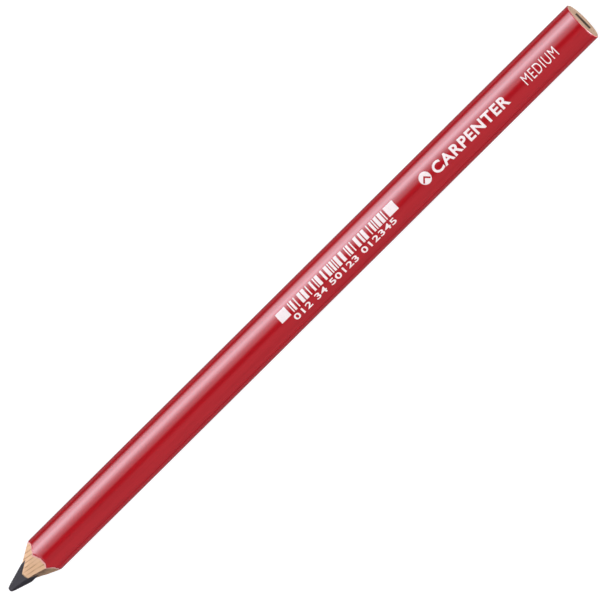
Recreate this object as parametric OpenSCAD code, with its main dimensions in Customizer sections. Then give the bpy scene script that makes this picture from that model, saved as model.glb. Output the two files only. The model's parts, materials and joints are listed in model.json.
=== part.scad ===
// Flat carpenter pencil: oval barrel, rectangular lead, knife-sharpened tip.
// It lies on a broad side. X runs along it with the tip at +X, Y across it and Z up.

/* [Barrel] */
// Overall length, from the tip to the sawn back end
pencil_length = 250; // [240:1:300]
// Width of the oval over the lacquer
barrel_width = 12.8; // [12:0.1:14]
// Thickness over the lacquer, between the narrow flats along the two broad sides
barrel_thickness = 7.6; // [7:0.1:8.5]
// Depth of each flat, which lets the barrel lie still on a broad side
flat_depth = 0.02; // [0.01:0.01:0.04]

/* [Coats and glue] */
// Thickness of the red lacquer
lacquer_film = 0.15; // [0.1:0.01:0.2]
// Thickness of the pale primer under it
primer_film = 0.12; // [0.12:0.01:0.16]
// Thickness of the glue between the two slats
seam_film = 0.08; // [0.06:0.01:0.12]
// Thickness of the adhesive round the lead
bond_film = 0.08; // [0.06:0.01:0.12]

/* [Lead] */
// Width of the lead
lead_width = 5.9; // [5:0.1:6.2]
// Thickness of the lead
lead_thickness = 1.9; // [1.6:0.1:2.1]

/* [Knife cuts through the wood] */
// Radius of the slight hollow of every cut, along the pencil
cut_hollow = 80; // [60:5:200]
// How far back from the tip the broad cut runs out of the lacquer
broad_cut_reach = 15.4; // [14.8:0.1:15.8]
// Angle between the broad cut and the axis where it runs out
broad_cut_angle = 21.4; // [21:0.1:22]
// Same reach for the shoulder cut on the left
left_shoulder_reach = 16.4; // [16:0.1:16.8]
// Its angle
left_shoulder_angle = 25.5; // [25:0.1:26.5]
// Same reach for the shoulder cut on the right
right_shoulder_reach = 15.7; // [15.2:0.1:16]
// Its angle
right_shoulder_angle = 26.5; // [25.5:0.1:27]
// Same reach for the narrow cut on the left edge
left_edge_reach = 16.3; // [15.8:0.1:16.6]
// Its angle
left_edge_angle = 24.5; // [24:0.1:25.5]
// Same reach for the narrow cut on the right edge
right_edge_reach = 15; // [14.8:0.1:15.4]
// Its angle
right_edge_angle = 30.5; // [30:0.1:31]

/* [Lead point] */
// Radius of the worn tip, seen from above
nose_radius = 1; // [0.8:0.05:1.1]
// Offset of the worn tip to the left of the axis
nose_offset = 0.13; // [0:0.01:0.2]

/* [Foil print] */
// Thickness of the stamped foil
foil_film = 0.03; // [0.02:0.01:0.05]
// Distance from the tip to the bar strip
strip_start = 120.2; // [112:0.1:121]
// Length of the bar strip
strip_length = 50.6; // [48:0.1:52]
// Height of the bars
bar_height = 3.3; // [2.8:0.1:3.4]
// Length of the solid block at each end of the strip
block_length = 3.9; // [3:0.1:4.2]
// Height of the small digits
digit_height = 1.8; // [1.5:0.1:2]
// Distance from the tip to the emblem's centre
emblem_at = 183; // [182:0.1:184]
// Diameter of the emblem
emblem_size = 4; // [3:0.1:4.2]
// Distance from the tip to the word
word_start = 186.4; // [186.4:0.1:187]
// Height of the word's capitals
word_height = 3.3; // [2.8:0.1:3.4]
// Distance from the tip to the lead grade
grade_start = 225.4; // [222:0.1:226]
// Height of the grade's capitals
grade_height = 3.2; // [2.8:0.1:3.3]

/* [Hidden] */
$fn = 120;

RED = "#b3202a";
CREAM = "#f0d9cc";
WOOD = "#dcb488";
GRAPHITE = "#3b3b40";
GLUE = "#e8dcb8";
FOIL = "#f6e9e8";

coats = lacquer_film + primer_film;
tip_x = pencil_length / 2;
// Length of stock beyond the two ends, sawn and cut away
waste = 1;
// Longer and wider than any section, for cutting tools
clear = 2 * barrel_width;

// Cuts through the wood as [roll, reach, angle]. Roll goes round the axis from +Y to +Z.
// Every cut with a roll between 0 and 180 has a mirror image on the underside.
EDGE_CUTS = [[0, left_edge_reach, left_edge_angle], [180, right_edge_reach, right_edge_angle]];
FACE_CUTS = [
  [86.5, broad_cut_reach, broad_cut_angle],
  [40, left_shoulder_reach, left_shoulder_angle],
  [130, right_shoulder_reach, right_shoulder_angle]
];
// Flats on the lead's point as [roll, distance from the axis at the tip, angle]
LEAD_CUTS = [[90, 0.28, 6], [135, 0.49, 11.1], [58, 0.5, 8.9]];

// Distance from the axis to the tangent of the lacquered oval that faces a roll angle
function oval_support(roll) =
  sqrt(pow(barrel_width * cos(roll), 2) + pow(barrel_thickness * sin(roll), 2)) / 2;

// Lifts what is drawn round the axis so that the barrel's underside lies at Z = 0
module raised() { translate([0, 0, barrel_thickness / 2]) children(); }

// Oval stock on the axis, inset from the lacquered surface and longer than the pencil
module rod(inset) {
  width = barrel_width - 2 * inset;
  thickness = barrel_thickness - 2 * inset;
  rotate([90, 0, 90])
    intersection() {
      linear_extrude(pencil_length + 2 * waste, center = true)
        scale([1, (thickness + 2 * flat_depth) / width])
          circle(d = width);
      cube([clear, thickness, 2 * pencil_length], center = true);
    }
}

module hollow_cut(roll, reach, angle) {
  rotate([roll - 90, 0, 0])
    translate([tip_x - reach + cut_hollow * sin(angle), 0, oval_support(roll) + cut_hollow * cos(angle)])
      rotate([90, 0, 0])
        cylinder(r = cut_hollow, h = clear, center = true, $fn = 720);
}

module wood_cuts() {
  for (cut = EDGE_CUTS)
    hollow_cut(cut[0], cut[1], cut[2]);
  for (under = [0, 1], cut = FACE_CUTS)
    mirror([0, 0, under])
      hollow_cut(cut[0], cut[1], cut[2]);
}

// Saws the stock off square at the back end
module saw_cut() {
  translate([-tip_x - clear, -clear / 2, -clear / 2])
    cube(clear);
}

module cut_to_shape() {
  difference() {
    children();
    saw_cut();
    wood_cuts();
  }
}

// Box along the whole pencil between two distances across it and two heights
module bar(y_from, y_to, z_from, z_to) {
  translate([-tip_x - 2 * waste, y_from, z_from])
    cube([pencil_length + 4 * waste, y_to - y_from, z_to - z_from]);
}

module lead_slab(film = 0, extra = 0) {
  cube([pencil_length + 2 * extra, lead_width + 2 * film, lead_thickness + 2 * film], center = true);
}

module lead_flat(roll, at_tip, angle) {
  rotate([roll - 90, 0, 0])
    translate([tip_x, 0, at_tip])
      rotate([0, angle, 0])
        translate([-2 * clear, -clear, 0])
          cube([3 * clear, 2 * clear, clear]);
}

// The worn, rounded end of the point, seen from above
module lead_nose() {
  translate([tip_x - nose_radius, nose_offset, 0])
    cylinder(r = nose_radius, h = 2 * lead_thickness, center = true);
  translate([-tip_x, -lead_width, -lead_thickness])
    cube([pencil_length - nose_radius, 2 * lead_width, 2 * lead_thickness]);
}

module lead_core() {
  color(GRAPHITE)
    raised()
      intersection() {
        lead_nose();
        union() {
          cut_to_shape() lead_slab();
          difference() {
            lead_slab();
            for (under = [0, 1], flat = LEAD_CUTS)
              mirror([0, 0, under])
                lead_flat(flat[0], flat[1], flat[2]);
          }
        }
      }
}

// Half of the casing: outside the lead's groove and above the glue seam
module slat() {
  cut_to_shape()
    difference() {
      intersection() {
        rod(coats);
        bar(-barrel_width, barrel_width, seam_film / 2, barrel_thickness);
      }
      lead_slab(bond_film, 2 * waste);
    }
}

module casing_slat_upper() {
  color(WOOD) raised() slat();
}

module casing_slat_lower() {
  color(WOOD) raised() mirror([0, 0, 1]) slat();
}

// Glue between the slats, from the lead's groove out to one edge of the barrel
module glue_seam(side) {
  color(GLUE)
    raised()
      cut_to_shape()
        intersection() {
          rod(coats);
          mirror([0, side, 0])
            bar(lead_width / 2 + bond_film, barrel_width, -seam_film / 2, seam_film / 2);
        }
}

module glue_seam_left() { glue_seam(0); }
module glue_seam_right() { glue_seam(1); }

// Adhesive round half of the lead, in the groove of one slat
module lead_bond(under) {
  color(GLUE)
    raised()
      cut_to_shape()
        mirror([0, 0, under])
          difference() {
            intersection() {
              lead_slab(bond_film);
              bar(-barrel_width, barrel_width, 0, barrel_thickness);
            }
            lead_slab(0, waste);
          }
}

module lead_bond_upper() { lead_bond(0); }
module lead_bond_lower() { lead_bond(1); }

module coat(inset, film) {
  raised()
    cut_to_shape()
      difference() {
        rod(inset);
        rod(inset + film);
      }
}

module primer_coat() { color(CREAM) coat(lacquer_film, primer_film); }
module lacquer_coat() { color(RED) coat(0, lacquer_film); }

// Wraps a flat outline onto the broad side as foil. The outline reads from the tip towards
// the back end: its X is the distance from the tip, and its Y points to the right edge.
module foil() {
  color(FOIL)
    raised()
      intersection() {
        difference() {
          rod(-foil_film);
          rod(0);
        }
        translate([tip_x, 0, 0])
          rotate([0, 0, 180])
            linear_extrude(barrel_thickness)
              children();
      }
}

// Strip of bars between two solid blocks, each bar and gap one to three units wide
BAR_COUNT = 28;
function bar_units(i) = 1 + (3 * i * i + i) % 11 % 3;
function gap_units(i) = 1 + (5 * i * i + 2 * i) % 13 % 3;
function units_before(i) = i == 0 ? 0 : units_before(i - 1) + bar_units(i - 1) + gap_units(i - 1);

module foil_bar_strip() {
  room = strip_length - 2 * block_length;
  unit = room / (units_before(BAR_COUNT) + gap_units(BAR_COUNT));
  foil()
    translate([strip_start, -1.1]) {
      for (at = [0, strip_length - block_length])
        translate([at, 0])
          square([block_length, bar_height]);
      for (i = [0 : BAR_COUNT - 1])
        translate([block_length + (gap_units(BAR_COUNT) + units_before(i)) * unit, 0])
          square([bar_units(i) * unit, bar_height]);
    }
}

// Stroke of a letter between two points, with square ends
module stroke(from, to, pen) {
  run = to - from;
  translate(from)
    rotate(atan2(run[1], run[0]))
      translate([-pen / 2, -pen / 2])
        square([norm(run) + pen, pen]);
}

// Block capitals and digits as strokes on a grid one unit wide and two units high
function glyph(c) =
  c == "A" ? [[0, 0, 0, 2], [0, 2, 1, 2], [1, 2, 1, 0], [0, 1, 1, 1]] :
  c == "C" ? [[1, 0, 0, 0], [0, 0, 0, 2], [0, 2, 1, 2]] :
  c == "D" ? [[0, 0, 0, 2], [0, 2, 1, 1.5], [1, 1.5, 1, 0.5], [1, 0.5, 0, 0]] :
  c == "E" ? [[1, 0, 0, 0], [0, 0, 0, 2], [0, 2, 1, 2], [0, 1, 0.8, 1]] :
  c == "I" ? [[0.5, 0, 0.5, 2]] :
  c == "M" ? [[0, 0, 0, 2], [0, 2, 0.5, 1], [0.5, 1, 1, 2], [1, 2, 1, 0]] :
  c == "N" ? [[0, 0, 0, 2], [0, 2, 1, 0], [1, 0, 1, 2]] :
  c == "P" ? [[0, 0, 0, 2], [0, 2, 1, 2], [1, 2, 1, 1], [1, 1, 0, 1]] :
  c == "R" ? [[0, 0, 0, 2], [0, 2, 1, 2], [1, 2, 1, 1], [1, 1, 0, 1], [0.4, 1, 1, 0]] :
  c == "T" ? [[0.5, 0, 0.5, 2], [0, 2, 1, 2]] :
  c == "U" ? [[0, 2, 0, 0], [0, 0, 1, 0], [1, 0, 1, 2]] :
  c == "0" ? [[0, 0, 0, 2], [0, 2, 1, 2], [1, 2, 1, 0], [1, 0, 0, 0]] :
  c == "1" ? [[0.5, 0, 0.5, 2]] :
  c == "2" ? [[0, 2, 1, 2], [1, 2, 1, 1], [1, 1, 0, 1], [0, 1, 0, 0], [0, 0, 1, 0]] :
  c == "3" ? [[0, 2, 1, 2], [1, 2, 1, 0], [1, 0, 0, 0], [0, 1, 1, 1]] :
  c == "4" ? [[0, 2, 0, 1], [0, 1, 1, 1], [1, 2, 1, 0]] :
  c == "5" ? [[1, 2, 0, 2], [0, 2, 0, 1], [0, 1, 1, 1], [1, 1, 1, 0], [1, 0, 0, 0]] :
  [];

// Line of characters of a given capital height, pitch and pen width
module lettering(word, height, pitch, pen) {
  grid = (height - pen) / 2;
  wide = 0.62 * pitch - pen;
  for (i = [0 : len(word) - 1], line = glyph(word[i]))
    translate([i * pitch + pen / 2, pen / 2])
      stroke([line[0] * wide, line[1] * grid], [line[2] * wide, line[3] * grid], pen);
}

module foil_digit_line() {
  foil()
    translate([strip_start + 3.8, -3.5])
      lettering("012 34 50123 012345", digit_height, 2.34, 0.35);
}

// Round emblem with a carpenter's square left open in it, corner up
module foil_emblem() {
  arm = 0.55 * emblem_size;
  blade = 0.13 * emblem_size;
  foil()
    translate([emblem_at, -0.25])
      difference() {
        circle(d = emblem_size);
        translate([0, 0.2 * emblem_size])
          rotate(-135) {
            square([arm, blade]);
            square([blade, arm]);
          }
      }
}

module foil_word() {
  foil()
    translate([word_start, -2.1])
      lettering("CARPENTER", word_height, 3.66, 0.75);
}

module foil_grade() {
  foil()
    translate([grade_start, -2.1])
      lettering("MEDIUM", grade_height, 2.4, 0.4);
}

lead_core();
casing_slat_upper();
casing_slat_lower();
glue_seam_left();
glue_seam_right();
lead_bond_upper();
lead_bond_lower();
primer_coat();
lacquer_coat();
foil_bar_strip();
foil_digit_line();
foil_emblem();
foil_word();
foil_grade();
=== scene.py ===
"""The looks of the flat carpenter pencil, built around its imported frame.

Each piece is a fine mesh that stands for the CAD node of the same part. Shapes are worked out in
millimetres about the pencil's axis: "back" is the distance back from the tip, y runs across the
broad side and z out of it. to_frame() turns them into the frame's metres.
"""

import json
import math

import bmesh
import bpy
import numpy as np
from mathutils import Matrix, Vector


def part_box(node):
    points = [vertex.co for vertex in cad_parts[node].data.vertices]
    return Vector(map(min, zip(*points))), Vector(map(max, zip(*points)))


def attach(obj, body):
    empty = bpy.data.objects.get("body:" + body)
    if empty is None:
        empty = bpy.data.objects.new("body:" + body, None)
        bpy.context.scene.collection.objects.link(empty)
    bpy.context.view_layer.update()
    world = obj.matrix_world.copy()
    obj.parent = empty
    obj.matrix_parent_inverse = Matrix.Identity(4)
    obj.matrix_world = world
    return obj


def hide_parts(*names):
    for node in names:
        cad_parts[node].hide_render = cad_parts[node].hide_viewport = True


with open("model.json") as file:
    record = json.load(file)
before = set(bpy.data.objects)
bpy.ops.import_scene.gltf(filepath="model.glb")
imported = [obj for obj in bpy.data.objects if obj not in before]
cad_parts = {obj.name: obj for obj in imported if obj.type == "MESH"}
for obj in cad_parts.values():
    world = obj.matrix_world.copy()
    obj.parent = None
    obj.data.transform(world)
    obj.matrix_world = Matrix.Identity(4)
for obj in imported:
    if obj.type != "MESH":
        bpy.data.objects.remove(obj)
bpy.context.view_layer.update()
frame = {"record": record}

# ------------------------------------------------------------------ sizes, read from the frame

MM = 0.001


def extent(node):
    """Lowest and highest corner of a CAD node, in millimetres."""
    low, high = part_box(node)
    return np.array(low) / MM, np.array(high) / MM


def half_size(node):
    """Half of a node's width and of its height."""
    low, high = extent(node)
    return (high - low)[1:] / 2


# Half width and half height of the layers, and half height of the seam between the slats
OUTSIDE = half_size("lacquer_coat")
PRIMED = half_size("primer_coat")
WOOD = PRIMED - (PRIMED[0] - half_size("casing_slat_upper")[0])
LEAD = half_size("lead_core")
GROOVE = LEAD + (half_size("lead_bond_upper")[0] - LEAD[0])
SEAM = half_size("glue_seam_left")[1]
AXIS_Z = np.mean([corner[2] for corner in extent("lacquer_coat")])
TIP_X = extent("lead_core")[1][0]
LENGTH = TIP_X - extent("lacquer_coat")[0][0]

# Knife cuts as (roll, reach, angle). The roll goes round the axis from +Y to +Z, the reach is
# where the cut leaves the lacquer, and the angle is the one between the cut and the axis there.
EDGE_CUTS = [(0, 16.3, 24.5), (180, 15.0, 30.5)]
FACE_CUTS = [(86.5, 15.4, 21.4), (40, 16.4, 25.5), (130, 15.7, 26.5)]
CUTS = EDGE_CUTS + FACE_CUTS + [(-roll, reach, angle) for roll, reach, angle in FACE_CUTS]
# Radius of the slight hollow in a cut, and rounding of the ridges between the cuts
CUT_HOLLOW = 80.0
RIDGE_SOFTNESS = 0.05

# Flats on the lead's point as (roll, height off the axis at the tip, angle)
UPPER_FLATS = [(90, 0.28, 6), (135, 0.49, 11.1), (58, 0.5, 8.9)]
LEAD_FLATS = UPPER_FLATS + [(-roll, height, angle) for roll, height, angle in UPPER_FLATS]
# The worn nose: its radius seen from above, how far it lies off the axis towards +Y, and how
# far back its upper and lower edges are rounded
NOSE_RADIUS = 1.0
NOSE_OFFSET = 0.13
NOSE_EDGE = 0.3
# Rounding of the creases between flats, between the point and the bar, and of the others
FLAT_SOFTNESS, BAR_SOFTNESS, CREASE_SOFTNESS = 0.04, 0.015, 0.02
# Faint waves where the point is worn: their height as a share, how fast they turn along and
# across the lead, and how far back they go
WEAR, WEAR_LENGTH = 0.012, 4
WEAR_ALONG, WEAR_ACROSS = 7, 3
# Length of the lead that has close rings, the distance between them, and how far round the
# nose the first ring lies
POINT_LENGTH = 15.0
RING_SPACING = 0.07
FIRST_TURN = 0.12
# How much thinner than its CAD node the lead is on each side
LEAD_SLACK = 0.001

random = np.random.default_rng(11)


# ------------------------------------------------------------------ shapes


def to_frame(points):
    """Points as (back, y, z) in millimetres, turned into the frame's metres."""
    points = np.asarray(points, float).reshape(-1, 3)
    return np.array([TIP_X, 0, AXIS_Z]) * MM + points * np.array([-1, 1, 1]) * MM


def smooth_max(values, softness):
    """The largest of some arrays, with the creases between them rounded."""
    top = np.max(values, axis=0)
    return top + softness * np.log(sum(np.exp((value - top) / softness) for value in values))


def smooth_min(values, softness):
    """The smallest of some arrays, with the creases between them rounded."""
    return -smooth_max([-np.asarray(value) for value in values], softness)


def random_waves(count, shortest, longest, height):
    """Waves in random directions across the section, as (wave vector, phase, height)."""
    turns = random.uniform(0, 2 * math.pi, count)
    pitches = 2 * math.pi / random.uniform(shortest, longest, count)
    phases = random.uniform(0, 2 * math.pi, count)
    vectors = np.stack([np.cos(turns), np.sin(turns)], 1) * pitches[:, None]
    return list(zip(vectors, phases, np.full(count, height / math.sqrt(count))))


def ripple(waves, y, z):
    """Sum of some waves at a place in the section."""
    return sum(height * np.sin(way[0] * y + way[1] * z + phase) for way, phase, height in waves)


KNIFE_MARKS = random_waves(14, 0.7, 3.5, 0.07)
SAW_MARKS = random_waves(16, 0.25, 1.2, 0.006)
CHIP_MARKS = random_waves(12, 0.6, 2.4, 0.12)
# How unevenly the paint has chipped
CHIP_SWING = 3
# Keeps the highest saw marks inside the CAD model
SAW_MARGIN = 0.025


def facing(roll):
    """The direction (y, z) of a roll round the axis."""
    return np.array([math.cos(math.radians(roll)), math.sin(math.radians(roll))])


def cut_centre(roll, reach, angle):
    """Centre of a hollow cut: its distance back from the tip and its height off the axis."""
    support = np.hypot(*(OUTSIDE * facing(roll)))
    lean = math.radians(angle)
    return reach - CUT_HOLLOW * math.sin(lean), support + CUT_HOLLOW * math.cos(lean)


def cut_depth(y, z):
    """How far back from the tip the knife has cut, at a place in the section."""
    depths = []
    for roll, reach, angle in CUTS:
        back, height = cut_centre(roll, reach, angle)
        away = height - (y * facing(roll)[0] + z * facing(roll)[1])
        depths.append(back + np.sqrt(np.maximum(CUT_HOLLOW**2 - away**2, 0)))
    return smooth_max(depths, RIDGE_SOFTNESS) + ripple(KNIFE_MARKS, y, z)


def cut_height(cut, back):
    """How far off the axis a knife cut is, at a distance back from the tip."""
    start, height = cut_centre(*cut)
    return height - math.sqrt(max(CUT_HOLLOW**2 - (back - start) ** 2, 0))


def oval(half, turns):
    """Points (y, z) on an oval with a half width and a half height."""
    return np.stack([half[0] * np.cos(turns), half[1] * np.sin(turns)], 1)


def loft(rows, closed_rows):
    """Faces between rows of points that each close on themselves."""
    count, around = rows.shape[:2]
    faces = []
    for i in range(count if closed_rows else count - 1):
        here, there = i * around, (i + 1) % count * around
        for j in range(around):
            k = (j + 1) % around
            faces.append((here + j, here + k, there + k, there + j))
    if not closed_rows:
        faces.append(tuple(range(around)))
        faces.append(tuple(reversed(range((count - 1) * around, count * around))))
    return faces


# Places of the rows along a layer's sides, close together at both ends so that shading stays even
SIDE_ROWS = np.concatenate([[0.0008, 0.003], np.linspace(0, 1, 14)[1:-1], [0.997, 0.9992]])


def sleeve(inner, outer, steps, closed, rims=(0, 0), chipped=0.0):
    """A layer between two outlines, from the sawn back end to the knife cut.

    rims says how far short of the back end the layer stops at the inner and at the outer outline,
    and chipped how far on average it has broken back from the knife cut.
    """
    across = np.linspace(0, 1, steps + 1)
    rows = []
    for low, high in zip(inner, outer):
        y, z = (low + (high - low) * across[:, None]).T
        broken = chipped * (1 + CHIP_SWING * ripple(CHIP_MARKS, y, z))
        front = np.stack([cut_depth(y, z) + broken, y, z], 1)
        short = rims[0] + (rims[1] - rims[0]) * across
        end = np.stack([LENGTH - short - SAW_MARGIN + ripple(SAW_MARKS, y, z), y, z], 1)
        side = front[-1] + (end[-1] - front[-1]) * SIDE_ROWS[:, None]
        bore = end[0] + (front[0] - end[0]) * SIDE_ROWS[:, None]
        rows.append(np.concatenate([front, side, end[::-1], bore]))
    rows = np.array(rows)
    return rows, loft(rows, closed)


# Points round a coat, and points round half of the casing
COAT_POINTS = 720
SLAT_POINTS = 420


def coat(inner_half, outer_half, steps, rims, chipped):
    """A closed oval layer round the casing."""
    turns = np.linspace(0, 2 * math.pi, COAT_POINTS, endpoint=False)
    return sleeve(oval(inner_half, turns), oval(outer_half, turns), steps, True, rims, chipped)


def half_outlines(inner_half, outer, gap):
    """A rectangle's upper half, point by point under an outline, both from a height up."""
    y, z = outer.T
    spread = np.maximum(np.abs(y) / inner_half[0], (z - gap) / (inner_half[1] - gap))
    return np.stack([y / spread, gap + (z - gap) / spread], 1), outer


# Steps across the wood, from the lead to the paint
CASING_STEPS = 56
# Turn by which the seam moves the groove's corner, as a share of its height over the casing's
CORNER_SHIFT = 0.83


def slat(side):
    """Half of the casing, above the seam (side 1) or below it (side -1)."""
    start = math.asin(SEAM / WOOD[1])
    slope = (GROOVE[1] - SEAM) / GROOVE[0]
    corner = math.atan2(slope * WOOD[0], WOOD[1]) + SEAM / WOOD[1] * CORNER_SHIFT
    evenly = np.linspace(start, math.pi - start, SLAT_POINTS)
    turns = np.sort(np.concatenate([evenly, [corner, math.pi - corner]]))
    inner, outer = half_outlines(GROOVE, oval(WOOD, turns), SEAM)
    flip = np.array([1, side])
    return sleeve(inner * flip, outer * flip, CASING_STEPS, False)


def seam(side):
    """Glue between the slats, on the +Y side (side 1) or the -Y side (side -1)."""
    z = np.linspace(-SEAM, SEAM, 5)
    outer = np.stack([WOOD[0] * np.sqrt(1 - (z / WOOD[1]) ** 2), z], 1)
    inner = np.stack([np.full(len(z), GROOVE[0]), z], 1)
    flip = np.array([side, 1])
    return sleeve(inner * flip, outer * flip, CASING_STEPS, False)


def half_rectangle(half, count):
    """The upper half of a rectangle's outline, with a point at each corner."""
    wall = np.linspace(0, half[1], count)[:-1]
    roof = np.linspace(half[0], -half[0], 4 * count)
    rise = np.stack([np.full(len(wall), half[0]), wall], 1)
    top = np.stack([roof, np.full(len(roof), half[1])], 1)
    return np.concatenate([rise, top, (rise * [-1, 1])[::-1]])


def bond(side):
    """Adhesive round half of the lead, in the upper (1) or the lower (-1) groove."""
    inner, outer = half_rectangle(LEAD, 12), half_rectangle(GROOVE, 12)
    flip = np.array([1, side])
    return sleeve(inner * flip, outer * flip, 3, False)


# Least slant at which a spoke meets a flat, its length where it meets none, and the longest and
# shortest length that is worked with
LEAST_SLANT = 1e-3
NO_MEETING = 1e3
LONGEST, SHORTEST = 1e2, 0.01


def spoke_lengths(spokes, roll, height):
    """How far spokes from the nose's centre line run before they meet a flat."""
    way = facing(roll)
    toward = spokes @ way
    room = height - way[0] * NOSE_OFFSET
    return np.where(toward > LEAST_SLANT, room / np.maximum(toward, LEAST_SLANT), NO_MEETING)


def lead_ring(spokes, bar, back):
    """Outline of the lead at a distance back from the tip."""
    wood = [spoke_lengths(spokes, cut[0], cut_height(cut, back)) for cut in CUTS]
    flats = [
        spoke_lengths(spokes, roll, height + back * math.tan(math.radians(angle)))
        for roll, height, angle in LEAD_FLATS
    ]
    cuts = [smooth_min(wood, CREASE_SOFTNESS), smooth_min(flats, FLAT_SOFTNESS)]
    point = smooth_max(cuts, CREASE_SOFTNESS)
    reach = smooth_min([bar, np.minimum(point, LONGEST)], BAR_SOFTNESS)
    ahead = 1 - min(back / NOSE_RADIUS, 1)
    if ahead > 0:
        half_nose = NOSE_RADIUS * math.sqrt(1 - ahead**2)
        nose = half_nose / np.maximum(np.abs(spokes[:, 0]), LEAST_SLANT)
        reach = smooth_min([reach, nose], CREASE_SOFTNESS)
    edge = math.sqrt(1 - (1 - min(back / NOSE_EDGE, 1)) ** 2)
    outline = spokes * np.maximum(reach, SHORTEST)[:, None] * [1, edge]
    waves = np.sin(WEAR_ALONG * back + WEAR_ACROSS * spokes[:, 0]) * (back < WEAR_LENGTH)
    return outline * (1 + WEAR * waves)[:, None] + [NOSE_OFFSET, 0]


def lead():
    """The lead, from its worn nose to the saw cut."""
    upper = half_rectangle(LEAD - LEAD_SLACK, 24)
    outline = np.concatenate([upper, (upper * [-1, -1])[1:-1]])
    spokes = outline - [NOSE_OFFSET, 0]
    bar = np.hypot(*spokes.T)
    spokes = spokes / bar[:, None]
    nose_rings = NOSE_RADIUS * (1 - np.cos(np.linspace(FIRST_TURN, math.pi / 2, 18)))
    point_rings = np.arange(NOSE_RADIUS + 0.06, POINT_LENGTH, RING_SPACING)
    barrel_rings = np.linspace(POINT_LENGTH + 0.2, LENGTH - 0.02, 12)
    rings = []
    for back in np.concatenate([nose_rings, point_rings, barrel_rings]):
        ring = lead_ring(spokes, bar, back)
        rings.append(np.column_stack([np.full(len(ring), back), ring]))
    sawn_face_scales = (0.97, 0.8, 0.6, 0.4, 0.2)
    for scale in sawn_face_scales:
        face = outline * scale
        depth = LENGTH - SAW_MARGIN + ripple(SAW_MARKS, *face.T)
        rings.append(np.column_stack([depth, face]))
    rings = np.array(rings)
    return rings, loft(rings, False)


# ------------------------------------------------------------------ foil

# How far the foil stands proud of the lacquer, and how far it reaches into it
FOIL_RISE = 0.014
FOIL_ROOT = 0.01
# Distance between the edges that let a flat print bend round the barrel
BEND_PITCH = 0.2
BAR_COUNT = 28
BLOCK_LENGTH = 3.9
# The line of small characters: plain digits that say nothing
DIGITS = "012 34 50123 012345"


def bar_units(i):
    """Width of a bar in the strip, one to three units."""
    return 1 + (3 * i * i + i) % 11 % 3


def gap_units(i):
    """Width of the gap after a bar, one to three units."""
    return 1 + (5 * i * i + 2 * i) % 13 % 3


def label_area(node):
    """Where a print lies: (start, end) back from the tip, and its top and bottom in y."""
    low, high = extent(node)
    return TIP_X - high[0], TIP_X - low[0], low[1], high[1]


def flat_shape(points, faces):
    """A bmesh of flat faces whose points are (back, y)."""
    shape = bmesh.new()
    verts = [shape.verts.new((*point, 0)) for point in points]
    for face in faces:
        shape.faces.new([verts[i] for i in face])
    return shape


def bar_strip():
    """Bars between two solid blocks. Their widths follow a formula and encode nothing."""
    start, end, top, bottom = label_area("foil_bar_strip")
    spans = [(start, start + BLOCK_LENGTH), (end - BLOCK_LENGTH, end)]
    units = gap_units(BAR_COUNT) + sum(bar_units(i) + gap_units(i) for i in range(BAR_COUNT))
    unit = (end - start - 2 * BLOCK_LENGTH) / units
    at = start + BLOCK_LENGTH + gap_units(BAR_COUNT) * unit
    for i in range(BAR_COUNT):
        spans.append((at, at + bar_units(i) * unit))
        at += (bar_units(i) + gap_units(i)) * unit
    points = [p for a, b in spans for p in ((a, top), (b, top), (b, bottom), (a, bottom))]
    return flat_shape(points, [range(4 * i, 4 * i + 4) for i in range(len(spans))])


def lettering(node, text, weight, spacing):
    """Text in Blender's own plain font, fitted to the area of its CAD node."""
    curve = bpy.data.curves.new(node, "FONT")
    curve.body = text
    curve.offset = weight
    curve.space_character = spacing
    shape = flat_mesh_of(curve)
    flat = np.array([vert.co[:2] for vert in shape.verts])
    low, high = flat.min(0), flat.max(0)
    start, end, top, bottom = label_area(node)
    for vert, (u, v) in zip(shape.verts, (flat - low) / (high - low)):
        vert.co = (start + (end - start) * u, bottom + (top - bottom) * v, 0)
    return shape


def filled(outlines):
    """A flat shape inside the first outline and outside the others."""
    curve = bpy.data.curves.new("outlines", "CURVE")
    curve.dimensions = "2D"
    curve.fill_mode = "BOTH"
    for outline in outlines:
        spline = curve.splines.new("POLY")
        spline.points.add(len(outline) - 1)
        for point, (u, v) in zip(spline.points, outline):
            point.co = (u, v, 0, 1)
        spline.use_cyclic_u = True
    return flat_mesh_of(curve)


def flat_mesh_of(curve):
    """The filled face of a curve or text as a bmesh. The curve is removed."""
    holder = bpy.data.objects.new(curve.name, curve)
    mesh = bpy.data.meshes.new_from_object(holder)
    shape = bmesh.new()
    shape.from_mesh(mesh)
    bmesh.ops.remove_doubles(shape, verts=shape.verts, dist=1e-4)
    bpy.data.objects.remove(holder)
    bpy.data.curves.remove(curve)
    bpy.data.meshes.remove(mesh)
    return shape


def emblem():
    """A disc with a carpenter's square left open in it, corner up."""
    start, end, top, bottom = label_area("foil_emblem")
    size = end - start
    centre = np.array([start + end, top + bottom]) / 2
    arm, blade, rise = 0.55 * size, 0.13 * size, 0.2 * size
    square = np.array([(0, 0), (arm, 0), (arm, blade), (blade, blade), (blade, arm), (0, arm)])
    along = np.array([-1, 1]) / math.sqrt(2)
    across = np.array([1, 1]) / math.sqrt(2)
    corner = centre - np.array([0, rise])
    cut_out = corner + square[:, :1] * along + square[:, 1:] * across
    rim = centre + oval((size / 2, size / 2), np.linspace(0, 2 * math.pi, 97)[:-1])
    return filled([rim, cut_out])


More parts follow.
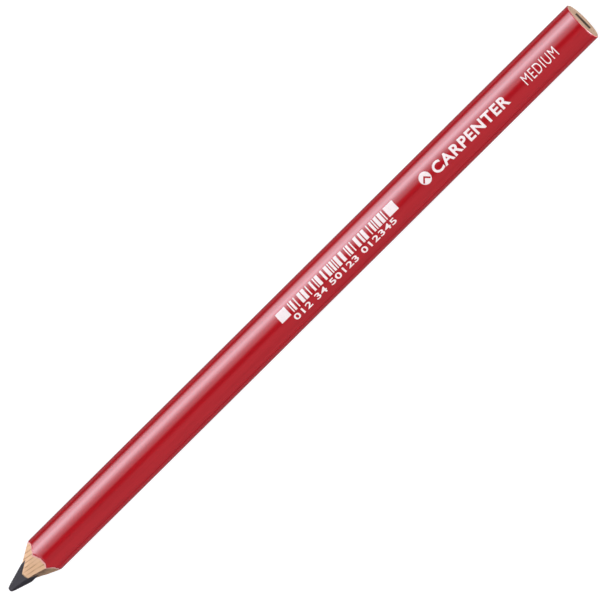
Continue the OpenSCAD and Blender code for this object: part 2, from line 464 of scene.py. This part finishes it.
def wrap_on_barrel(shape):
    """Turns a flat print into a thin closed skin on the curved broad side."""
    low = min(vert.co.y for vert in shape.verts)
    high = max(vert.co.y for vert in shape.verts)
    for y in np.arange(low + BEND_PITCH / 2, high - BEND_PITCH / 4, BEND_PITCH):
        everything = shape.verts[:] + shape.edges[:] + shape.faces[:]
        bmesh.ops.bisect_plane(shape, geom=everything, plane_co=(0, y, 0), plane_no=(0, 1, 0))
    made = bmesh.ops.extrude_face_region(shape, geom=shape.faces[:], use_keep_orig=True)
    raised = {item for item in made["geom"] if isinstance(item, bmesh.types.BMVert)}
    for vert in shape.verts:
        surface = OUTSIDE[1] * math.sqrt(1 - (vert.co.y / OUTSIDE[0]) ** 2)
        vert.co.z = surface + (FOIL_RISE if vert in raised else -FOIL_ROOT)
    index = {vert: i for i, vert in enumerate(shape.verts)}
    points = [tuple(vert.co) for vert in shape.verts]
    faces = [tuple(index[vert] for vert in face.verts) for face in shape.faces]
    shape.free()
    return points, faces


# ------------------------------------------------------------------ node helpers


def add(tree, kind, inputs=(), output=0, **settings):
    """Adds a node, sets or links its inputs by name or by place, and returns one output."""
    pairs = inputs.items() if isinstance(inputs, dict) else enumerate(inputs)
    node = tree.nodes.new("ShaderNode" + kind)
    for name, value in settings.items():
        setattr(node, name, value)
    for key, value in pairs:
        if isinstance(value, bpy.types.NodeSocket):
            tree.links.new(value, node.inputs[key])
        else:
            node.inputs[key].default_value = value
    return node.outputs[output]


def calc(tree, operation, *values):
    """One step of arithmetic."""
    return add(tree, "Math", values, operation=operation)


def ramp(tree, value, low, high, start=0.0, end=1.0):
    """A smooth step from start to end as a value goes from low to high."""
    inputs = [value, low, high, start, end]
    return add(tree, "MapRange", inputs, interpolation_type="SMOOTHSTEP")


def blend(tree, factor, first, second):
    """The first colour where the factor is 0, and the second where it is 1."""
    return add(tree, "Mix", {0: factor, 6: first, 7: second}, 2, data_type="RGBA")


def colour(red, green, blue):
    return (red, green, blue, 1)


def place(tree):
    """Where a point of a piece is, in the frame's metres."""
    return add(tree, "TexCoord", output=3)


def noise(tree, where, size, stretch=1.0, detail=2.0, rough=0.5, seed=0.0):
    """Noise with spots of a size in millimetres, drawn out along the pencil."""
    scale = 1 / (size * MM)
    spot = add(tree, "VectorMath", [where, (scale / stretch, scale, scale)], operation="MULTIPLY")
    shifted = add(tree, "VectorMath", [spot, (seed, 2 * seed, 3 * seed)], operation="ADD")
    inputs = {"Vector": shifted, "Scale": 1.0, "Detail": detail, "Roughness": rough}
    return add(tree, "TexNoise", inputs)


def bump(tree, height, depth):
    """Bump from a height between 0 and 1, with its full depth in millimetres."""
    return add(tree, "Bump", {"Height": height, "Distance": depth * MM, "Strength": 1.0})


def new_material(name, **constants):
    """A material with one Principled shader, whose fixed values are set on its own sockets."""
    material = bpy.data.materials.new(name)
    material.use_nodes = True
    tree = material.node_tree
    shader = tree.nodes["Principled BSDF"]
    for socket, value in constants.items():
        shader.inputs[socket.replace("_", " ")].default_value = value
    return material, tree, shader


def connect(tree, shader, **sources):
    """Links what the nodes work out to the shader's sockets."""
    for socket, source in sources.items():
        tree.links.new(source, shader.inputs[socket.replace("_", " ")])


# ------------------------------------------------------------------ materials


def lacquer_material():
    """Red lacquer: glossy, dipped in many thin coats, so it is a little uneven along the barrel."""
    material, tree, shader = new_material(
        "red_lacquer", IOR=1.5, Coat_Weight=1.0, Coat_Roughness=0.05, Coat_IOR=1.5
    )
    where = place(tree)
    flow = noise(tree, where, 1.6, stretch=30, detail=3)
    deep, bright = colour(0.43, 0.0095, 0.0145), colour(0.47, 0.0125, 0.0175)
    base = blend(tree, ramp(tree, flow, 0.35, 0.65), deep, bright)
    hairlines = noise(tree, where, 0.09, stretch=160, detail=2, seed=4.0)
    rough = ramp(tree, hairlines, 0.55, 0.75, 0.07, 0.16)
    peel = bump(tree, noise(tree, where, 1.1, stretch=3, detail=1, seed=9.0), 0.002)
    connect(tree, shader, Base_Color=base, Roughness=rough, Normal=peel, Coat_Normal=peel)
    return material


def primer_material():
    """Pale primer, seen only where the knife and the saw cut through the paint.

    The saw has smeared it with paint.
    """
    material, tree, shader = new_material("pale_primer", Roughness=0.7, IOR=1.45)
    where = place(tree)
    spots = noise(tree, where, 0.25, detail=3)
    base = blend(tree, spots, colour(0.80, 0.38, 0.32), colour(0.90, 0.53, 0.45))
    base = blend(tree, sawn_end(tree, where), base, colour(0.55, 0.20, 0.17))
    connect(tree, shader, Base_Color=base, Normal=bump(tree, spots, 0.02))
    return material


# Growth rings: their spacing in millimetres, how they slant along X and lean with Z, how far
# they wander in spacings, and how much they stain the wood
RING_PITCH = 1.3
RING_SLANT = 0.19
RING_LEAN = 0.02
RING_WANDER = 1.6
RING_STAIN = 0.75


def growth_rings(tree, where):
    """The casing's growth rings, 0 in the pale wood and 1 in the narrow dark lines."""
    wander = noise(tree, where, 6.0, stretch=8, detail=2, seed=2.0)
    axes = add(tree, "SeparateXYZ", [where])
    x, y, z = axes, axes.node.outputs[1], axes.node.outputs[2]
    tilted = calc(tree, "ADD", calc(tree, "MULTIPLY", x, RING_SLANT), y)
    tilted = calc(tree, "ADD", tilted, calc(tree, "MULTIPLY", z, RING_LEAN))
    layers = calc(tree, "DIVIDE", tilted, RING_PITCH * MM)
    layers = calc(tree, "ADD", layers, calc(tree, "MULTIPLY", wander, RING_WANDER))
    phase = calc(tree, "FRACT", layers)
    rise = ramp(tree, phase, 0.55, 0.86)
    fall = ramp(tree, phase, 0.9, 1.0, 1.0, 0.0)
    faint = ramp(tree, noise(tree, where, 1.8, stretch=6, detail=1, seed=12.0), 0.4, 0.6, 0.25, 1.0)
    return calc(tree, "MULTIPLY", calc(tree, "MULTIPLY", rise, fall), faint)


def wood_material():
    """Bare softwood: pale, with narrow brown growth rings, darker streaks, and a graphite smudge
    that also paints shade on the +Y facets of the point.
    """
    material, tree, shader = new_material("casing_wood", IOR=1.45)
    where = place(tree)
    rings = growth_rings(tree, where)
    fibres = noise(tree, where, 0.12, stretch=25, detail=3, seed=1.0)
    patches = noise(tree, where, 2.2, stretch=3, detail=2, seed=5.0)
    base = blend(tree, patches, colour(0.80, 0.51, 0.26), colour(0.85, 0.58, 0.34))
    base = blend(tree, calc(tree, "MULTIPLY", rings, RING_STAIN), base, colour(0.42, 0.20, 0.08))
    streaks = ramp(tree, fibres, 0.52, 0.75, 0.0, 0.4)
    base = blend(tree, streaks, base, colour(0.50, 0.28, 0.14))
    # Painted shade mixed with a real graphite smudge: the point's +Y knife facets are darkened in
    # their colour
    base = blend(tree, smudge_and_painted_shade(tree, where), base, colour(0.085, 0.045, 0.032))
    base = end_grain(tree, where, base)
    relief = calc(tree, "ADD", fibres, calc(tree, "MULTIPLY", rings, 0.6))
    rough = ramp(tree, fibres, 0.3, 0.7, 0.5, 0.72)
    connect(tree, shader, Base_Color=base, Roughness=rough, Normal=bump(tree, relief, 0.018))
    return material


# How far back from the tip the smudge and its painted shade are still full, and how far back they
# have ended
SMUDGE_SHADE_FULL, SMUDGE_SHADE_END = 17, 19
# How far past the lead's edge the smudge and its painted shade start and stop fading, and the share
# that is left
FADE_START, FADE_STOP, FADE_LEFT = -0.4, 2.4, 0.45


def smudge_and_painted_shade(tree, where):
    """Graphite rubbed into the knife facets on the +Y side of the point, most beside the lead, and
    painted shade on these facets, which face away from the lights.
    """
    x, y, _ = add(tree, "SeparateXYZ", [where]).node.outputs
    normal = add(tree, "TexCoord", output=1)
    # The facets that face +Y, away from the lights, take the painted shade
    on_facet = ramp(tree, add(tree, "SeparateXYZ", [normal], 1), 0.3, 0.55)
    start, stop = (LEAD[0] + FADE_START) * MM, (LEAD[0] + FADE_STOP) * MM
    fading = ramp(tree, y, start, stop, 1.0, FADE_LEFT)
    at_point = ramp(tree, x, (TIP_X - SMUDGE_SHADE_END) * MM, (TIP_X - SMUDGE_SHADE_FULL) * MM)
    grime_and_shade = noise(tree, where, 0.5, stretch=3, detail=3, seed=13.0)
    amount = ramp(tree, grime_and_shade, 0.3, 0.7, 0.45, 0.85)
    for share in (on_facet, fading, at_point):
        amount = calc(tree, "MULTIPLY", amount, share)
    return amount


# How far from the sawn end its own look is full, and how far it reaches
SAWN_FULL, SAWN_REACH = 0.05, 0.15


def sawn_end(tree, where):
    """1 on the sawn face at the back end and 0 further along."""
    x = add(tree, "SeparateXYZ", [where])
    back = (TIP_X - LENGTH) * MM
    return ramp(tree, x, back + SAWN_FULL * MM, back + SAWN_REACH * MM, 1.0, 0.0)


def end_grain(tree, where, base):
    """Greyer, porous wood on the sawn face at the back end."""
    pores = noise(tree, where, 0.16, detail=3, rough=0.7, seed=7.0)
    pale, dark = colour(0.57, 0.405, 0.262), colour(0.31, 0.20, 0.13)
    grey = blend(tree, ramp(tree, pores, 0.4, 0.7), pale, dark)
    return blend(tree, calc(tree, "MULTIPLY", sawn_end(tree, where), 0.85), base, grey)


def graphite_material():
    """Soft lead: grey, burnished where it has been sharpened, with fine scratches."""
    material, tree, shader = new_material("graphite", IOR=1.55, Metallic=0.1)
    where = place(tree)
    scratches = noise(tree, where, 0.07, stretch=14, detail=3, seed=3.0)
    grains = noise(tree, where, 0.05, detail=3, rough=0.7, seed=6.0)
    base = blend(tree, scratches, colour(0.020, 0.019, 0.021), colour(0.052, 0.050, 0.056))
    sawn = sawn_end(tree, where)
    base = blend(tree, sawn, base, colour(0.042, 0.025, 0.012))
    rough = ramp(tree, grains, 0.3, 0.7, 0.36, 0.54)
    rough = calc(tree, "ADD", rough, calc(tree, "MULTIPLY", sawn, 0.4))
    relief = calc(tree, "ADD", scratches, calc(tree, "MULTIPLY", grains, 0.7))
    connect(tree, shader, Base_Color=base, Roughness=rough, Normal=bump(tree, relief, 0.012))
    return material


def glue_material():
    """Dried glue between the slats and round the lead."""
    material, tree, shader = new_material("dried_glue", Roughness=0.45, IOR=1.5)
    spots = noise(tree, place(tree), 0.3, stretch=4, detail=3)
    base = blend(tree, spots, colour(0.30, 0.19, 0.10), colour(0.46, 0.31, 0.17))
    connect(tree, shader, Base_Color=base, Normal=bump(tree, spots, 0.01))
    return material


def foil_material():
    """Pale stamped foil: nearly white, a little pink where it is worn thin."""
    material, tree, shader = new_material("stamped_foil", IOR=1.5)
    where = place(tree)
    wear = noise(tree, where, 0.22, stretch=2, detail=4, rough=0.65, seed=8.0)
    thin = ramp(tree, wear, 0.56, 0.74, 0.0, 0.55)
    base = blend(tree, thin, colour(0.95, 0.89, 0.82), colour(0.72, 0.36, 0.33))
    rough = ramp(tree, wear, 0.3, 0.7, 0.28, 0.42)
    connect(tree, shader, Base_Color=base, Roughness=rough, Normal=bump(tree, wear, 0.004))
    return material


# ------------------------------------------------------------------ pieces

MATERIALS = {
    "lacquer": lacquer_material(),
    "primer": primer_material(),
    "casing_wood": wood_material(),
    "graphite": graphite_material(),
    "glue": glue_material(),
    "foil": foil_material(),
}
SLOTS = {part["node"]: part["material_slot"] for part in frame["record"]["subparts"]}


# Edges that turn by more than this many degrees stay sharp
SHARP_ANGLE = 28


def add_piece(name, node, shape):
    """Makes a closed mesh that stands for a CAD node and rides on the pencil."""
    points, faces = shape
    mesh = bpy.data.meshes.new(name)
    mesh.from_pydata(to_frame(points).tolist(), [], faces)
    outward = bmesh.new()
    outward.from_mesh(mesh)
    bmesh.ops.recalc_face_normals(outward, faces=outward.faces)
    outward.to_mesh(mesh)
    outward.free()
    mesh.shade_smooth()
    mesh.set_sharp_from_angle(angle=math.radians(SHARP_ANGLE))
    mesh.materials.append(MATERIALS[SLOTS[node]])
    piece = bpy.data.objects.new(name, mesh)
    bpy.context.scene.collection.objects.link(piece)
    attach(piece, "root")
    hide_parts(node)
    return piece


def build_pencil():
    """The solid pieces, from the lead outwards."""
    add_piece("lead", "lead_core", lead())
    add_piece("upper_slat", "casing_slat_upper", slat(1))
    add_piece("lower_slat", "casing_slat_lower", slat(-1))
    add_piece("left_seam", "glue_seam_left", seam(1))
    add_piece("right_seam", "glue_seam_right", seam(-1))
    add_piece("upper_bond", "lead_bond_upper", bond(1))
    add_piece("lower_bond", "lead_bond_lower", bond(-1))
    primer = coat(WOOD, PRIMED, steps=3, rims=(0.02, 0.14), chipped=0.0)
    lacquer = coat(PRIMED, OUTSIDE, steps=5, rims=(0.14, 0.28), chipped=0.18)
    add_piece("primer", "primer_coat", primer)
    add_piece("lacquer", "lacquer_coat", lacquer)


def print_foil():
    """The print on the broad side, in plain generic shapes and words."""
    line = lettering("foil_digit_line", DIGITS, weight=0.02, spacing=1.1)
    word = lettering("foil_word", "CARPENTER", weight=0.03, spacing=1.12)
    grade = lettering("foil_grade", "MEDIUM", weight=-0.004, spacing=1.15)
    prints = {
        "bar_strip": ("foil_bar_strip", bar_strip()),
        "digit_line": ("foil_digit_line", line),
        "emblem": ("foil_emblem", emblem()),
        "word": ("foil_word", word),
        "grade": ("foil_grade", grade),
    }
    for name, (node, flat) in prints.items():
        add_piece(name, node, wrap_on_barrel(flat))


# ------------------------------------------------------------------ floor, light and camera


# Half the floor's width, and how far it lies under the pencil
FLOOR_REACH = 20.0
FLOOR_DROP = 0.00002
FLOOR_GLOW = 0.9


def add_floor():
    """A pale floor. It glows where the camera sees it, so that shadows on it stay faint."""
    mesh = bpy.data.meshes.new("floor")
    sides = [(-1, -1), (1, -1), (1, 1), (-1, 1)]
    corners = [(x * FLOOR_REACH, y * FLOOR_REACH, -FLOOR_DROP) for x, y in sides]
    mesh.from_pydata(corners, [], [(0, 1, 2, 3)])
    white = colour(1, 1, 1)
    material, tree, shader = new_material("pale_floor", Roughness=0.9, Emission_Color=white)
    speckle = noise(tree, place(tree), 3.0, detail=3)
    base = blend(tree, speckle, colour(0.19, 0.19, 0.19), colour(0.21, 0.21, 0.21))
    glow = calc(tree, "MULTIPLY", add(tree, "LightPath"), FLOOR_GLOW)
    connect(tree, shader, Base_Color=base, Emission_Strength=glow)
    mesh.materials.append(material)
    floor = bpy.data.objects.new("floor", mesh)
    bpy.context.scene.collection.objects.link(floor)


# Soft lights round the pencil as (degrees from straight up towards +Y, half width, steepness of
# the edge, brightness): long strips beside it, and broad ones past its back end and its point
STRIP_LIGHTS = [
    (-47, 19, 3, 3.85),
    (-31, 12.5, 3, 1.5),
    (-24, 18.5, 6, 1.15),
    (46.5, 35.5, 12, 0.22),
]
END_LIGHTS = [(80, 45, 4, 16.5)]
POINT_LIGHTS = [(-88, 28, 4, 15.5)]
# Each group with the middle and the half width of its reach along X
LIGHT_GROUPS = [(STRIP_LIGHTS, 0.2, 0.3), (END_LIGHTS, -0.81, 0.11), (POINT_LIGHTS, 0.84, 0.09)]
REACH_STEEPNESS = 4
# Softboxes past the ends as (direction, inner and outer cosine of the edge, brightness)
SOFTBOXES = [
    ((-0.74, 0.66, 0.12), 0.88, 0.78, 0.7),
    ((-0.6, 0.1, 0.79), 0.97, 0.93, 1.5),
    ((0.87, -0.48, 0.1), 0.95, 0.89, 0.45),
    ((0.66, 0.0, 0.75), 0.985, 0.965, 2.0),
]
# Colour of all light on the pencil
LIGHT_TINT = colour(1.0, 0.965, 1.08)
# Brightness of the plain white that the camera itself sees behind the pencil
BACKDROP = 1.0


def band(tree, value, centre, width, steepness, brightness=1.0):
    """Brightness that falls off softly at a width on either side of its centre."""
    away = calc(tree, "ABSOLUTE", calc(tree, "SUBTRACT", value, centre))
    fade = calc(tree, "POWER", calc(tree, "DIVIDE", away, width), steepness)
    glow = calc(tree, "EXPONENT", calc(tree, "MULTIPLY", fade, -1.0))
    return calc(tree, "MULTIPLY", glow, brightness)


def softbox(tree, toward, inner, outer, brightness):
    """A round light with a soft edge, in one direction from the pencil."""
    direction = add(tree, "TexCoord", output=0)
    middle = Vector(toward).normalized()
    near = add(tree, "VectorMath", [direction, middle], 1, operation="DOT_PRODUCT")
    return ramp(tree, near, outer, inner, 0.0, brightness)


def light_studio():
    """The lights round the pencil, in a room that looks white to the camera."""
    world = bpy.data.worlds.new("studio")
    world.use_nodes = True
    tree = world.node_tree
    tree.nodes.clear()
    x, y, z = add(tree, "SeparateXYZ", [add(tree, "TexCoord", output=0)]).node.outputs
    angle = calc(tree, "DEGREES", calc(tree, "ARCTAN2", y, z))
    total = 0.0
    for lamps, middle, reach in LIGHT_GROUPS:
        group = 0.0
        for lamp in lamps:
            group = calc(tree, "ADD", band(tree, angle, *lamp), group)
        group = calc(tree, "MULTIPLY", group, band(tree, x, middle, reach, REACH_STEEPNESS))
        total = calc(tree, "ADD", group, total)
    for lamp in SOFTBOXES:
        total = calc(tree, "ADD", softbox(tree, *lamp), total)
    seen = add(tree, "LightPath")
    strength = add(tree, "Mix", {0: seen, 2: total, 3: BACKDROP}, data_type="FLOAT")
    tint = blend(tree, seen, LIGHT_TINT, colour(1, 1, 1))
    background = add(tree, "Background", {"Color": tint, "Strength": strength})
    shown = tree.nodes.new("ShaderNodeOutputWorld")
    tree.links.new(background, shown.inputs["Surface"])
    bpy.context.scene.world = world
    bpy.context.scene.view_settings.view_transform = "Standard"


# Direction from the pencil to the camera, their distance, the pencil's slope in the picture in
# degrees, and how far along X and Y the picture's middle lies off the pencil's own
CAMERA_SIDE = (-0.317, 0.036, 0.948)
CAMERA_DISTANCE = 5.378
PICTURE_SLOPE = 44.77
PICTURE_SHIFT = (-0.00294, -0.000365)


def add_camera():
    """A long lens above the back end, with the pencil lying across the picture's diagonal."""
    toward = Vector(CAMERA_SIDE).normalized()
    backward = Vector((-1, 0, 0))
    along = (backward - toward * backward.dot(toward)).normalized()
    across = along.cross(toward)
    slope = math.radians(PICTURE_SLOPE)
    right = along * math.cos(slope) + across * math.sin(slope)
    up = along * math.sin(slope) - across * math.cos(slope)
    target = Vector((*PICTURE_SHIFT, AXIS_Z * MM))
    camera = bpy.data.cameras.new("camera")
    camera.lens = 1100
    camera.sensor_width = 36
    camera.clip_end = 100
    holder = bpy.data.objects.new("camera", camera)
    turn = Matrix((right, up, toward)).transposed().to_4x4()
    holder.matrix_world = Matrix.Translation(target + toward * CAMERA_DISTANCE) @ turn
    bpy.context.scene.collection.objects.link(holder)
    bpy.context.scene.camera = holder


add_camera()
build_pencil()
print_foil()
add_floor()
light_studio()
